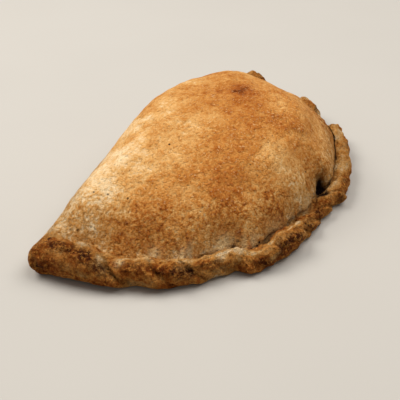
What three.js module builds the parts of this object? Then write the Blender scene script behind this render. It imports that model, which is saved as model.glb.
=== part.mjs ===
// Calzone: a round of dough folded over its filling into a half moon and baked.
// The folded back bulges, the crown is domed, and the curved edge is rolled up
// and pleated into a rope that ends in a stub at each tip.
// Millimetres, +Z up, +X along the fold, the rolled edge towards -Y.
import * as THREE from "three";

// ---- Driving dimensions -------------------------------------------------

// Plan of the half moon: the rolled edge is an arc, the fold a flatter arc.
const EDGE_RADIUS = 128;
const EDGE_CENTRE = [-5, 58];
const FOLD_NEAR_TIP = [-126, 38.5];
const FOLD_FAR_TIP = [110, 66];
const FOLD_BULGE = 14;
const TIP_ROUNDING = 16;

// Where the rolled edge turns into the fold: how gradually, and how far round the tip.
const TIP_BLEND = 20;
const TIP_WRAP = 3.6;

// Crown: where the dome is highest, and how high it stands.
const CROWN = [11, 10];
const CROWN_HEIGHT = 50.2;

// Foot of the dome: how far the plan inside the rolled edge is rounded at the tips.
const DOME_ROUNDING = 56;

// How much higher the dome runs out onto the stub at each tip, and how the dough
// settles there: passes of evening out, and rings to each side of the dome's foot.
const TIP_SHOULDER = 7.6;
const SETTLE_PASSES = 10;
const SETTLE_RINGS = 5;

// Fullness of the dome: exponents of its profile, leaner towards the tips than across,
// and settling to one flat round cap near the crown.
const CROWN_FULLNESS = 2.05;
const SIDE_FULLNESS = 2.4;
const TOP_FULLNESS = 1.46;
const LEANER_TIPS = 0.68;
const FRONT_LEAN_SHARE = 0.3;
const CROWN_BLEND = 1;

// Round cap of the crown: its contours are ovals of these proportions, and they take
// the shape of the half moon on the way to the foot.
const CAP_LONG = 105;
const CAP_CROSS = 100;

// The dome follows the pleats only in the last part of its way to the foot.
const DOME_INSET = 16;
const PLEAT_PULL_FROM = 0.8;

// Fold: height of its widest line, how far it curls under, and how soon it swells out.
const FOLD_WAIST = 11.2;
const FOLD_UNDERCUT = 5;
const FOLD_SWELL = 0.5;

// Valley between the dome and the rolled edge.
const VALLEY_HEIGHT = 8;
const VALLEY_GAP = 0.8;

// Pleats of the rolled edge, from the near tip round to the far tip: the span of each
// in degrees about the centre of the edge, its thickness and how far it stands out.
const FIRST_PLEAT = 180;
const PLEATS = [
  { span: 11, thickness: 24.0, out: -1.0 },
  { span: 20, thickness: 19.5, out: -0.8 },
  { span: 10.5, thickness: 15.5, out: -0.2 },
  { span: 7.5, thickness: 14.3, out: 2.0 },
  { span: 6, thickness: 13.0, out: 0.5 },
  { span: 8, thickness: 12.2, out: -1.6 },
  { span: 8.5, thickness: 11.8, out: 3.5 },
  { span: 9.5, thickness: 14.6, out: 2.4 },
  { span: 6.5, thickness: 11.2, out: -2.6 },
  { span: 7, thickness: 8.5, out: -5.0 },
  { span: 7, thickness: 11.0, out: -4.2 },
  { span: 8, thickness: 13.0, out: -0.6 },
  { span: 10, thickness: 13.0, out: -1.5 },
  { span: 11, thickness: 13.0, out: -1.3 },
  { span: 12, thickness: 13.5, out: 0.4 },
  { span: 8, thickness: 11.0, out: -4.0 },
  { span: 11, thickness: 16.5, out: -1.4 },
  { span: 19, thickness: 12.0, out: -4.0 },
  { span: 18, thickness: 21.5, out: -0.8 },
];

// How long a pleat holds its own size, and its lip: how far it leans along the edge over
// half a turn of the roll, the turn at which it doesn't, its step and its share of the pleat.
const PLEAT_HOLD = 0.45;
const PLEAT_LEAN = 9;
const PLEAT_LEAN_FROM = 20;
const PLEAT_STEP = 0.9;
const PLEAT_LIP = 0.14;

// Seam where the far end of the dome leans on the rolled edge, and its foot lies higher.
const SEAM_FROM = 283;
const SEAM_TO = 322;
const SEAM_FADE = 7;
const SEAM_RISE = 3.5;
const SEAM_LAP = 4;
const SEAM_OVERHANG = 0.6;

// Hole in the seam where the dough tore away.
const HOLE_BEARING = 278.5;
const HOLE_SPAN = 3.6;
const HOLE_WIDTH = 3.5;
const HOLE_DROP = 3.5;
const HOLE_PULL_FROM = 0.93;

// Swell of the filling under the dome: depth of the waves and their lengths.
const SWELL_DEPTH = 0.8;
const SWELL_LENGTHS = [74, 47, 31];

// Mesh: stations round the outline, and rings from the crown to the base.
const STATIONS = 150;
const DOME_RINGS = 15;
const ROLL_RINGS = 13;
const BASE_RINGS = 2;
const FOLD_STATION_SHARE = 0.55;

// Rolled edge in section: where the roll starts above the valley, and its foot.
const ROLL_START = 165;
const ROLL_START_SEAM = 132;
const ROLL_START_TIP = 112;
const ROLL_FOOT = -88;

const CRUST_COLOUR = 0xb5834e;
const CRUST_ROUGHNESS = 0.85;

// ---- Small helpers ------------------------------------------------------

const TURN = 2 * Math.PI;

function radians(degrees) {
  return (degrees * Math.PI) / 180;
}

function clamp01(value) {
  return Math.min(1, Math.max(0, value));
}

function ease(value) {
  const t = clamp01(value);
  return t * t * (3 - 2 * t);
}

function mix(a, b, t) {
  return a + (b - a) * t;
}

// Positive remainder of an angle in degrees.
function wrap(degrees) {
  return ((degrees % 360) + 360) % 360;
}

// The smaller of two lengths, rounded off where they meet.
function roundedMin(a, b, rounding) {
  const t = clamp01(0.5 + (0.5 * (b - a)) / rounding);
  return mix(b, a, t) - rounding * t * (1 - t);
}

// Distance from a point inside a circle to the circle, along a direction.
function distanceToCircle(from, direction, centre, radius) {
  const dx = from[0] - centre[0];
  const dy = from[1] - centre[1];
  const along = dx * direction[0] + dy * direction[1];
  return -along + Math.sqrt(along * along - dx * dx - dy * dy + radius * radius);
}

// One inside a span of bearings, easing to nothing past its ends.
function spanShare(bearing, from, to, fade) {
  const middle = (from + to) / 2;
  const off = Math.abs(wrap(bearing - middle + 180) - 180);
  return 1 - ease((off - (to - from) / 2) / fade);
}

// ---- Plan ---------------------------------------------------------------

// Circle of the fold, through both tips and bulging between them.
function foldCircle() {
  const [ax, ay] = FOLD_NEAR_TIP;
  const [bx, by] = FOLD_FAR_TIP;
  const length = Math.hypot(bx - ax, by - ay);
  const half = length / 2;
  const radius = (half * half + FOLD_BULGE * FOLD_BULGE) / (2 * FOLD_BULGE);
  const inward = (radius - FOLD_BULGE) / length;
  return {
    centre: [(ax + bx) / 2 + (by - ay) * inward, (ay + by) / 2 - (bx - ax) * inward],
    radius,
  };
}

const FOLD = foldCircle();

// Bearing of a place about the centre of the rolled edge, in degrees.
function bearingOf(x, y) {
  return wrap(THREE.MathUtils.radToDeg(Math.atan2(y - EDGE_CENTRE[1], x - EDGE_CENTRE[0])));
}

// Outline of the half moon along one direction from the crown.
function outlineAt(angle) {
  const direction = [Math.cos(angle), Math.sin(angle)];
  const toEdge = distanceToCircle(CROWN, direction, EDGE_CENTRE, EDGE_RADIUS);
  const toFold = distanceToCircle(CROWN, direction, FOLD.centre, FOLD.radius);
  const reach = roundedMin(toEdge, toFold, TIP_ROUNDING);
  const rolled = ease(0.5 + (0.5 * (toFold - toEdge) + TIP_WRAP) / TIP_BLEND);
  const bearing = bearingOf(CROWN[0] + direction[0] * reach, CROWN[1] + direction[1] * reach);
  return { angle, direction, toEdge, toFold, reach, rolled, bearing };
}

// Directions of the stations, evenly spaced along the edge and sparser along the fold.
function stationAngles() {
  const samples = 3000;
  const lengths = [0];
  let last = outlineAt(0);
  for (let i = 1; i <= samples; i += 1) {
    const next = outlineAt((TURN * i) / samples);
    const dx = next.direction[0] * next.reach - last.direction[0] * last.reach;
    const dy = next.direction[1] * next.reach - last.direction[1] * last.reach;
    const share = mix(FOLD_STATION_SHARE, 1, next.rolled);
    lengths.push(lengths[i - 1] + share * Math.hypot(dx, dy));
    last = next;
  }
  const angles = [];
  let at = 0;
  for (let i = 0; i < STATIONS; i += 1) {
    const wanted = (lengths[samples] * i) / STATIONS;
    while (lengths[at + 1] < wanted) at += 1;
    const part = (wanted - lengths[at]) / (lengths[at + 1] - lengths[at]);
    angles.push((TURN * (at + part)) / samples);
  }
  return angles;
}

// ---- Dome ---------------------------------------------------------------

// How square the dome's shoulder is along one direction. It is leaner towards the tips,
// most of all on the side of the fold.
function topFullnessAt(angle) {
  const onFoldSide = ease(0.5 + Math.sin(angle));
  const leaner = LEANER_TIPS * mix(FRONT_LEAN_SHARE, 1, onFoldSide);
  return TOP_FULLNESS - leaner * Math.cos(2 * angle);
}

// Soft swell of the filling, in millimetres, at a place in plan.
function swellAt(x, y) {
  const [long, middle, short] = SWELL_LENGTHS;
  return (
    (SWELL_DEPTH *
      (Math.sin((TURN * (x + 0.6 * y)) / long + 0.7) +
        0.8 * Math.sin((TURN * (y - 0.5 * x)) / middle + 2.1) +
        0.5 * Math.sin((TURN * (x - 0.8 * y)) / short + 4.0))) /
    2
  );
}

// Foot of the dome along one direction, inside the rolled edge and up to the fold.
function domeFoot(station, edgeInset, valleyHeight, torn) {
  const inside = station.toEdge - DOME_INSET;
  const folded = ease(0.5 + (0.5 * (inside - station.toFold)) / DOME_ROUNDING);
  const atTip = 4 * folded * (1 - folded);
  const even = roundedMin(inside, station.toFold, DOME_ROUNDING);
  return {
    even,
    reach: even + (DOME_INSET - edgeInset) * (1 - folded),
    tear: HOLE_WIDTH * torn * (1 - folded),
    height: mix(valleyHeight, FOLD_WAIST, folded) + TIP_SHOULDER * atTip,
    atTip,
  };
}

// Reach of the oval cap along one direction.
function capReach(direction) {
  return 1 / Math.hypot(direction[0] / CAP_LONG, direction[1] / CAP_CROSS);
}

// How far from the crown the dome has come at one share of its way to the foot.
function domeDistance(station, foot, share, overhang) {
  const shaped = ease(share / CROWN_BLEND);
  const pull = ease((share - PLEAT_PULL_FROM) / (1 - PLEAT_PULL_FROM));
  const tear = foot.tear * ease((share - HOLE_PULL_FROM) / (1 - HOLE_PULL_FROM));
  const belly = overhang * ease((share - 0.8) / 0.15) * (1 - ease((share - 0.985) / 0.015));
  const even = mix(capReach(station.direction), foot.even, shaped);
  return mix(even, foot.reach, pull) * share + belly - tear;
}

// Spacing of the dome's rings, closer together down its steep side.
function domeShare(step) {
  return Math.sin((Math.PI / 2) * step) ** (2 / SIDE_FULLNESS);
}

// Points of the dome from the crown down to its foot: [distance, height] pairs.
function domeProfile(station, foot, overhang) {
  const topFullness = topFullnessAt(station.angle);
  const points = [];
  for (let ring = 1; ring <= DOME_RINGS; ring += 1) {
    const share = domeShare(ring / DOME_RINGS);
    const full = ease(share / CROWN_BLEND);
    const power = mix(CROWN_FULLNESS, SIDE_FULLNESS, full);
    const rise = (1 - share ** power) ** (1 / mix(TOP_FULLNESS, topFullness, full));
    const distance = domeDistance(station, foot, share, overhang);
    const x = CROWN[0] + station.direction[0] * distance;
    const y = CROWN[1] + station.direction[1] * distance;
    const swell = swellAt(x, y) * ease(rise / 0.4);
    points.push([distance, mix(foot.height, CROWN_HEIGHT, rise) + swell]);
  }
  return points;
}

// ---- Rolled and pleated edge ---------------------------------------------

// Bearings at which the pleats end, from the near tip to the far tip.
function pleatEnds() {
  const ends = [FIRST_PLEAT];
  PLEATS.forEach((pleat) => ends.push(ends[ends.length - 1] + pleat.span));
  return ends;
}

const PLEAT_ENDS = pleatEnds();

// Half of the bearings that the pleats leave free, over the fold.
const FOLD_HALF_SPAN = (FIRST_PLEAT + 360 - PLEAT_ENDS[PLEAT_ENDS.length - 1]) / 2;

// The pleat at one bearing: how far along it the bearing lies, its thickness and its reach.
function pleatAt(bearing) {
  const onFold = bearing < FIRST_PLEAT - FOLD_HALF_SPAN;
  const from = onFold ? bearing + 360 : bearing;
  const last = PLEATS.length - 1;
  const found = PLEAT_ENDS.findIndex((end) => end > from) - 1;
  const index = found < -1 ? last : Math.max(0, found);
  const along = clamp01((from - PLEAT_ENDS[index]) / PLEATS[index].span);
  const here = PLEATS[index];
  const next = PLEATS[Math.min(last, index + 1)];
  const merged = ease((along - PLEAT_HOLD) / (1 - PLEAT_HOLD));
  return {
    along,
    thickness: mix(here.thickness, next.thickness, merged),
    out: mix(here.out, next.out, merged),
  };
}

// Relief of a pleat: it swells along its length, and its lip steps down onto the next one.
function pleatRelief(along) {
  const climb = -1 + 2 * (clamp01(along / (1 - PLEAT_LIP)) ** 0.7);
  const lip = ease((along - 1 + PLEAT_LIP) / PLEAT_LIP);
  return PLEAT_STEP * (along < 1 - PLEAT_LIP ? climb : 1 - 2 * lip);
}

// Valley, roll and foot where the edge is rolled: [distance, height] pairs.
function rolledProfile(station, open, atTip) {
  const { thickness, out } = pleatAt(station.bearing);
  const start = mix(mix(ROLL_START, ROLL_START_SEAM, open), ROLL_START_TIP, atTip);
  const radius = thickness / 2;
  const middle = station.reach + out - radius;
  const roll = [];
  for (let ring = 0; ring < ROLL_RINGS; ring += 1) {
    const turn = mix(start, ROLL_FOOT, ring / (ROLL_RINGS - 1));
    const lean = (PLEAT_LEAN * (PLEAT_LEAN_FROM - turn)) / 180;
    const relief = pleatRelief(pleatAt(station.bearing - lean).along);
    const showing = ease((turn + 80) / 50);
    const around = radius + relief * showing;
    const distance = middle + around * Math.cos(radians(turn));
    const height = radius + around * Math.sin(radians(turn));
    roll.push([distance, Math.max(0, height)]);
  }
  return roll;
}

// Folded back: from its waist the skin curls under.
function foldedProfile(station, foot) {
  const roll = [];
  for (let ring = 1; ring <= ROLL_RINGS; ring += 1) {
    const share = ring / ROLL_RINGS;
    const turn = (Math.PI / 2) * share;
    const swollen = Math.sin((Math.PI / 2) * clamp01(share / FOLD_SWELL));
    const out = mix(foot.reach, station.reach, swollen);
    const distance = out - FOLD_UNDERCUT * (1 - Math.cos(turn));
    roll.push([distance, foot.height * (1 - Math.sin(turn))]);
  }
  return roll;
}

// ---- Crust --------------------------------------------------------------

// Rings of one station from the crown to the middle of the base, and how near a tip it is.
function stationProfile(angle) {
  const station = outlineAt(angle);
  const { thickness, out } = pleatAt(station.bearing);
  const open = spanShare(station.bearing, SEAM_FROM, SEAM_TO, SEAM_FADE);
  const torn = spanShare(station.bearing, HOLE_BEARING, HOLE_BEARING, HOLE_SPAN);
  const valley = VALLEY_HEIGHT + SEAM_RISE * open - HOLE_DROP * torn;
  const inset = thickness - out + VALLEY_GAP - SEAM_LAP * open;
  const foot = domeFoot(station, inset, valley, torn);
  const rings = domeProfile(station, foot, SEAM_OVERHANG * open * (1 - torn));
  const folded = foldedProfile(station, foot);
  rolledProfile(station, open, foot.atTip).forEach(([distance, height], i) => {
    const [foldDistance, foldHeight] = folded[i];
    rings.push([
      mix(foldDistance, distance, station.rolled),
      mix(foldHeight, height, station.rolled),
    ]);
  });
  const last = rings[rings.length - 1];
  last[1] = 0;
  for (let ring = 1; ring <= BASE_RINGS; ring += 1) {
    rings.push([last[0] * (1 - ring / (BASE_RINGS + 1)), 0]);
  }
  const [dx, dy] = station.direction;
  const place = ([out, height]) => [CROWN[0] + dx * out, CROWN[1] + dy * out, height];
  return { atTip: foot.atTip, points: rings.map(place) };
}

// Evens out the dough around the dome's foot at the tips, where it runs onto the stubs.
function settleTips(profiles) {
  for (let pass = 0; pass < SETTLE_PASSES; pass += 1) {
    const before = profiles.map(({ points }) => points.map((point) => [...point]));
    profiles.forEach(({ atTip, points }, s) => {
      const left = before[(s + STATIONS - 1) % STATIONS];
      const right = before[(s + 1) % STATIONS];
      for (let ring = DOME_RINGS - SETTLE_RINGS; ring < DOME_RINGS + SETTLE_RINGS; ring += 1) {
        const share = atTip * (1 - ease(Math.abs(ring - DOME_RINGS) / SETTLE_RINGS));
        const around = [left[ring], right[ring], before[s][ring - 1], before[s][ring + 1]];
        points[ring] = points[ring].map((value, axis) => {
          const even = around.reduce((sum, point) => sum + point[axis], 0) / around.length;
          return mix(value, even, share);
        });
      }
    });
  }
}

// Closed skin: a fan at the crown, bands between the rings, and a fan under the base.
function crustGeometry() {
  const profiles = stationAngles().map(stationProfile);
  settleTips(profiles);
  const ringCount = profiles[0].points.length;
  const positions = [CROWN[0], CROWN[1], CROWN_HEIGHT + swellAt(...CROWN)];
  profiles.forEach(({ points }) => points.forEach((point) => positions.push(...point)));
  positions.push(CROWN[0], CROWN[1], 0);
  const baseMiddle = positions.length / 3 - 1;
  const at = (station, ring) => 1 + (station % STATIONS) * ringCount + ring;
  const faces = [];
  for (let s = 0; s < STATIONS; s += 1) {
    faces.push(0, at(s, 0), at(s + 1, 0));
    for (let ring = 0; ring < ringCount - 1; ring += 1) {
      faces.push(at(s, ring), at(s, ring + 1), at(s + 1, ring + 1));
      faces.push(at(s, ring), at(s + 1, ring + 1), at(s + 1, ring));
    }
    faces.push(at(s, ringCount - 1), baseMiddle, at(s + 1, ringCount - 1));
  }
  const geometry = new THREE.BufferGeometry();
  geometry.setAttribute("position", new THREE.Float32BufferAttribute(positions, 3));
  geometry.setIndex(faces);
  return geometry;
}

// Moves the crust so that the middle of its base is the origin.
function centreOnBase(geometry) {
  geometry.computeBoundingBox();
  const { min, max } = geometry.boundingBox;
  geometry.translate(-(min.x + max.x) / 2, -(min.y + max.y) / 2, -min.z);
  geometry.computeVertexNormals();
  return geometry;
}

function crustMaterial() {
  return new THREE.MeshStandardMaterial({
    color: CRUST_COLOUR,
    roughness: CRUST_ROUGHNESS,
    metalness: 0,
  });
}

function buildCrust() {
  const crust = new THREE.Mesh(centreOnBase(crustGeometry()), crustMaterial());
  crust.name = "crust";
  return crust;
}

const calzone = new THREE.Group();
calzone.name = "calzone";
calzone.add(buildCrust());

export default calzone;
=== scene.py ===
"""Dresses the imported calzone: its baked, browned crust with fine relief, on a tabletop."""

import logging
import math
from dataclasses import dataclass, field
from enum import Enum

import bmesh
import bpy
import numpy as np
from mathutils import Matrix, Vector


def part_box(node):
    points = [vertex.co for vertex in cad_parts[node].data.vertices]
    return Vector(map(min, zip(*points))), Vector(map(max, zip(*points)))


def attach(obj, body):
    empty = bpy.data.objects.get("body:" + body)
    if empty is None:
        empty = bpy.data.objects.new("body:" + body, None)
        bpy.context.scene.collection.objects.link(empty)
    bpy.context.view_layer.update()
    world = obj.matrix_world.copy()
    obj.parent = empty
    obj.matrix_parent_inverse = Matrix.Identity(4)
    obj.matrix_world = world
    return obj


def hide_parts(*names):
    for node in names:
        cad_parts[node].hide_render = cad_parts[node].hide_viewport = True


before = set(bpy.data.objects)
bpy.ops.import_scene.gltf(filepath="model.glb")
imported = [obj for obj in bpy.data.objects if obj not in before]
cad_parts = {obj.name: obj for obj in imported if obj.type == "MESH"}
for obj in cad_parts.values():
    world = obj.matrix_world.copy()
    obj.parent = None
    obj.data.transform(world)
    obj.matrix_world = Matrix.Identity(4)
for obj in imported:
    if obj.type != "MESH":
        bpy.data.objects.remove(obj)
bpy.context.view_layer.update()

LOG = logging.getLogger("calzone")
MILLIMETRE = 0.001
TURN = 2 * math.pi
TINY = 1e-9
Socket = bpy.types.NodeSocket
Input = Socket | float | tuple


def ease(value: np.ndarray) -> np.ndarray:
    """Smooth step from nothing at 0 to one at 1, level outside."""
    t = np.clip(value, 0.0, 1.0)
    return t * t * (3 - 2 * t)


def mix(a: np.ndarray, b: np.ndarray, t: np.ndarray) -> np.ndarray:
    """Blend of a and b, with t the share of b."""
    return a + (b - a) * t


def turned_off(bearing: np.ndarray, middle: float) -> np.ndarray:
    """Bearings measured from a middle one, in degrees between -180 and 180."""
    return np.mod(bearing - middle + 180, 360) - 180


def rounded_min(a: np.ndarray, b: np.ndarray, rounding: float) -> np.ndarray:
    """The smaller of two lengths, rounded off from that far before they meet."""
    t = np.clip(0.5 + 0.5 * (b - a) / rounding, 0.0, 1.0)
    return mix(b, a, t) - rounding * t * (1 - t)


def bump(distance: np.ndarray, width: float) -> np.ndarray:
    """Bell curve, one in the middle and sunk to a third at its width."""
    return np.exp(-((distance / width) ** 2))


@dataclass(frozen=True)
class Fade:
    """A smooth change from nothing to one: where it starts and the length it takes."""

    start: float
    length: float

    def at(self, value: np.ndarray) -> np.ndarray:
        """How far the change has come at some values."""
        return ease((value - self.start) / self.length)


class LatticeNoise:
    """Smooth random values in space, the same on every run."""

    SIDE = 48

    def __init__(self, seed: int) -> None:
        """Draws the lattice from a seed."""
        self.table = np.random.default_rng(seed).uniform(-1, 1, (self.SIDE,) * 3)

    def at(self, points: np.ndarray, size: float) -> np.ndarray:
        """Values at some points.

        Args:
            points: Places in millimetres, with three coordinates last.
            size: Distance between lattice points, in millimetres.

        Returns:
            Values between -1 and 1.
        """
        place = points / size
        cell = np.floor(place).astype(int)
        share = ease(place - cell)
        total = np.zeros(points.shape[:-1])
        for corner in np.ndindex(2, 2, 2):
            index = np.mod(cell + corner, self.SIDE)
            weight = np.where(np.array(corner) == 1, share, 1 - share).prod(axis=-1)
            total += weight * self.table[index[..., 0], index[..., 1], index[..., 2]]
        return total

    def waves(self, points: np.ndarray, sizes: tuple[tuple[float, float], ...]) -> np.ndarray:
        """Sum of the values for some lattice sizes, each times the height given with it."""
        return sum(height * self.at(points, size) for size, height in sizes)


@dataclass(frozen=True)
class Pleat:
    """One pleat of the rolled edge: degrees it spans, its thickness and how far it stands out."""

    span: float
    thickness: float
    out: float


PLEATS = (
    Pleat(11, 24.0, -1.0),
    Pleat(20, 19.5, -0.8),
    Pleat(10.5, 15.5, -0.2),
    Pleat(7.5, 14.3, 2.0),
    Pleat(6, 13.0, 0.5),
    Pleat(8, 12.2, -1.6),
    Pleat(8.5, 11.8, 3.5),
    Pleat(9.5, 14.6, 2.4),
    Pleat(6.5, 11.2, -2.6),
    Pleat(7, 8.5, -5.0),
    Pleat(7, 11.0, -4.2),
    Pleat(8, 13.0, -0.6),
    Pleat(10, 13.0, -1.5),
    Pleat(11, 13.0, -1.3),
    Pleat(12, 13.5, 0.4),
    Pleat(8, 11.0, -4.0),
    Pleat(11, 16.5, -1.4),
    Pleat(19, 12.0, -4.0),
    Pleat(18, 21.5, -0.8),
)


@dataclass(frozen=True)
class Swell:
    """A long wave of the filling: its length, its way in plan, its height and its phase."""

    length: float
    way: tuple[float, float]
    height: float
    phase: float

    def at(self, x: np.ndarray, y: np.ndarray) -> np.ndarray:
        """Height over some places in plan, in millimetres."""
        along = self.way[0] * x + self.way[1] * y
        return self.height * np.sin(TURN * along / self.length + self.phase)


@dataclass
class Outline:
    """The half moon's outline at each station, seen from the crown."""

    angle: np.ndarray
    dx: np.ndarray
    dy: np.ndarray
    to_edge: np.ndarray
    to_fold: np.ndarray
    reach: np.ndarray
    rolled: np.ndarray
    bearing: np.ndarray


@dataclass
class Foot:
    """Foot of the dome at each station."""

    even: np.ndarray
    reach: np.ndarray
    tear: np.ndarray
    height: np.ndarray
    at_tip: np.ndarray


@dataclass
class Skin:
    """Surface of the crust as a grid of stations by rings, in millimetres."""

    points: np.ndarray
    outline: Outline
    turn: np.ndarray
    foot_ring: int
    roll_end: int

    def along_profile(self) -> np.ndarray:
        """Distance along each profile from the dome's foot.

        Returns:
            The distances in millimetres, negative on the dome.
        """
        steps = np.linalg.norm(np.diff(self.points, axis=1), axis=-1)
        length = np.concatenate([np.zeros((len(steps), 1)), np.cumsum(steps, axis=1)], axis=1)
        return length - length[:, self.foot_ring : self.foot_ring + 1]

    def normals(self) -> np.ndarray:
        """Directions out of the skin.

        Returns:
            A unit vector at every point.
        """
        round_it = np.roll(self.points, -1, axis=0) - np.roll(self.points, 1, axis=0)
        down_it = np.gradient(self.points, axis=1)
        out = np.cross(down_it, round_it)
        return out / np.maximum(np.linalg.norm(out, axis=-1, keepdims=True), TINY)


@dataclass
class CrustForm:
    """Folded and rolled form of the calzone, worked out in millimetres round its crown."""

    edge_radius: float = 128
    edge_centre: tuple[float, float] = (-5, 58)
    fold_near_tip: tuple[float, float] = (-126, 38.5)
    fold_far_tip: tuple[float, float] = (110, 66)
    fold_bulge: float = 14
    tip_rounding: float = 16
    tip_blend: float = 20
    tip_wrap: float = 3.6
    crown: tuple[float, float] = (11, 10)
    crown_height: float = 50.2
    crown_fullness: float = 2.05
    dome_rounding: float = 56
    tip_shoulder: float = 7.6
    side_fullness: float = 2.4
    top_fullness: float = 1.46
    leaner_tips: float = 0.68
    front_lean_share: float = 0.3
    cap_long: float = 105
    cap_cross: float = 100
    swells: tuple[Swell, ...] = (
        Swell(74, (1.0, 0.6), 0.4, 0.7),
        Swell(47, (-0.5, 1.0), 0.32, 2.1),
        Swell(31, (1.0, -0.8), 0.2, 4.0),
    )
    swell_rise: Fade = Fade(0, 0.4)
    dome_inset: float = 16
    pleat_pull: Fade = Fade(0.8, 0.2)
    fold_waist: float = 11.2
    fold_undercut: float = 5
    fold_swell: float = 0.5
    valley_height: float = 8
    valley_gap: float = 0.8
    first_pleat: float = 180
    pleats: tuple[Pleat, ...] = PLEATS
    pleat_hold: float = 0.45
    pleat_lean: float = 9
    pleat_lean_from: float = 20
    pleat_climb: float = 0.7
    pleat_step: float = 0.9
    pleat_step_far: float = 0.4
    far_pleats: Fade = Fade(270, 12)
    pleat_lip: float = 3.2
    pleats_show: Fade = Fade(-80, 50)
    pleats_end: Fade = Fade(78, 40)
    roll_per_degree: float = 0.13
    seam_span: tuple[float, float] = (283, 322)
    seam_fade: float = 7
    seam_rise: float = 3.5
    seam_lap: float = 4.2
    seam_overhang: float = 0.3
    belly_out: Fade = Fade(0.8, 0.15)
    belly_in: Fade = Fade(0.985, 0.015)
    hole_bearing: float = 279.3
    hole_span: float = 2.8
    hole_width: float = 3.0
    hole_drop: float = 3.5
    hole_pull: Fade = Fade(0.93, 0.07)
    roll_start: float = 165
    roll_start_seam: float = 132
    roll_start_tip: float = 112
    roll_foot: float = -88
    stations: int = 600
    outline_steps: int = 6000
    dome_rings: int = 94
    roll_rings: int = 46
    base_rings: int = 8
    fold_station_share: float = 0.55
    settle_passes: int = 150
    settle_dome_rings: int = 30
    settle_roll_rings: int = 18
    settle_hole_ring: int = -8
    settle_hole_rings: int = 12
    settle_hole_span: float = 5
    settle_hole_share: float = 0.15

    def __post_init__(self) -> None:
        """Works out the fold's circle and where the pleats end."""
        ax, ay = self.fold_near_tip
        bx, by = self.fold_far_tip
        length = math.hypot(bx - ax, by - ay)
        self.fold_radius = ((length / 2) ** 2 + self.fold_bulge**2) / (2 * self.fold_bulge)
        inward = (self.fold_radius - self.fold_bulge) / length
        self.fold_centre = (
            (ax + bx) / 2 + (by - ay) * inward,
            (ay + by) / 2 - (bx - ax) * inward,
        )
        spans = [pleat.span for pleat in self.pleats]
        self.pleat_ends = self.first_pleat + np.concatenate([[0], np.cumsum(spans)])
        self.thicknesses = np.array([pleat.thickness for pleat in self.pleats])
        self.outs = np.array([pleat.out for pleat in self.pleats])
        self.spans = np.array(spans) * self.per_degree

    @property
    def per_degree(self) -> float:
        """Length of a degree of bearing along the edge, in millimetres."""
        return self.edge_radius * TURN / 360

    def _to_circle(
        self, dx: np.ndarray, dy: np.ndarray, centre: tuple[float, float], radius: float
    ) -> np.ndarray:
        """Distance from the crown to a circle round it.

        Args:
            dx: First component of each direction.
            dy: Second component of each direction.
            centre: Middle of the circle.
            radius: Radius of the circle.

        Returns:
            The distances.
        """
        fx, fy = self.crown[0] - centre[0], self.crown[1] - centre[1]
        along = fx * dx + fy * dy
        return -along + np.sqrt(along * along - fx * fx - fy * fy + radius * radius)

    def outline(self, angle: np.ndarray) -> Outline:
        """Outline of the half moon along some directions from the crown.

        Args:
            angle: Directions in radians.

        Returns:
            The outline there.
        """
        dx, dy = np.cos(angle), np.sin(angle)
        to_edge = self._to_circle(dx, dy, self.edge_centre, self.edge_radius)
        to_fold = self._to_circle(dx, dy, self.fold_centre, self.fold_radius)
        reach = rounded_min(to_edge, to_fold, self.tip_rounding)
        rolled = ease(0.5 + (0.5 * (to_fold - to_edge) + self.tip_wrap) / self.tip_blend)
        x = self.crown[0] + dx * reach - self.edge_centre[0]
        y = self.crown[1] + dy * reach - self.edge_centre[1]
        bearing = np.mod(np.degrees(np.arctan2(y, x)), 360)
        return Outline(angle, dx, dy, to_edge, to_fold, reach, rolled, bearing)

    def station_angles(self) -> np.ndarray:
        """Directions of the stations, evenly spaced along the edge and sparser on the fold.

        Returns:
            The directions in radians.
        """
        angle = np.linspace(0, TURN, self.outline_steps + 1)
        line = self.outline(angle)
        steps = np.hypot(np.diff(line.dx * line.reach), np.diff(line.dy * line.reach))
        steps *= mix(self.fold_station_share, 1, line.rolled[1:])
        lengths = np.concatenate([[0], np.cumsum(steps)])
        wanted = lengths[-1] * np.arange(self.stations) / self.stations
        return np.interp(wanted, lengths, angle)

    def pleat_at(self, bearing: np.ndarray) -> tuple[np.ndarray, np.ndarray, np.ndarray]:
        """The pleat at some bearings.

        Args:
            bearing: Bearings in degrees.

        Returns:
            Which pleat, how far along it, and the bearing counted on past a whole turn.
        """
        free = (self.first_pleat + 360 - self.pleat_ends[-1]) / 2
        counted = np.where(bearing < self.first_pleat - free, bearing + 360, bearing)
        last = len(self.pleats) - 1
        index = np.clip(np.searchsorted(self.pleat_ends, counted, side="right") - 1, 0, last)
        start, end = self.pleat_ends[index], self.pleat_ends[index + 1]
        return index, np.clip((counted - start) / (end - start), 0, 1), counted

    def pleat_size(self, bearing: np.ndarray) -> tuple[np.ndarray, np.ndarray]:
        """Thickness of the roll and how far it stands out, each pleat merging into the next.

        Args:
            bearing: Bearings in degrees.

        Returns:
            Thickness and reach past the outline, in millimetres.
        """
        index, along, _ = self.pleat_at(bearing)
        following = np.minimum(len(self.pleats) - 1, index + 1)
        merged = ease((along - self.pleat_hold) / (1 - self.pleat_hold))
        thickness = mix(self.thicknesses[index], self.thicknesses[following], merged)
        return thickness, mix(self.outs[index], self.outs[following], merged)

    def pleat_relief(self, bearing: np.ndarray) -> np.ndarray:
        """How a pleat swells along its length, and how its lip steps down.

        Args:
            bearing: Bearings in degrees.

        Returns:
            Height over the plain roll, in millimetres.
        """
        index, along, counted = self.pleat_at(bearing)
        lip_share = self.pleat_lip / self.spans[index]
        body = 1 - lip_share
        climb = -1 + 2 * np.clip(along / body, 0, 1) ** self.pleat_climb
        lip = 1 - 2 * ease((along - body) / lip_share)
        step = mix(self.pleat_step, self.pleat_step_far, self.far_pleats.at(counted))
        return step * np.where(along < body, climb, lip)

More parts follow.
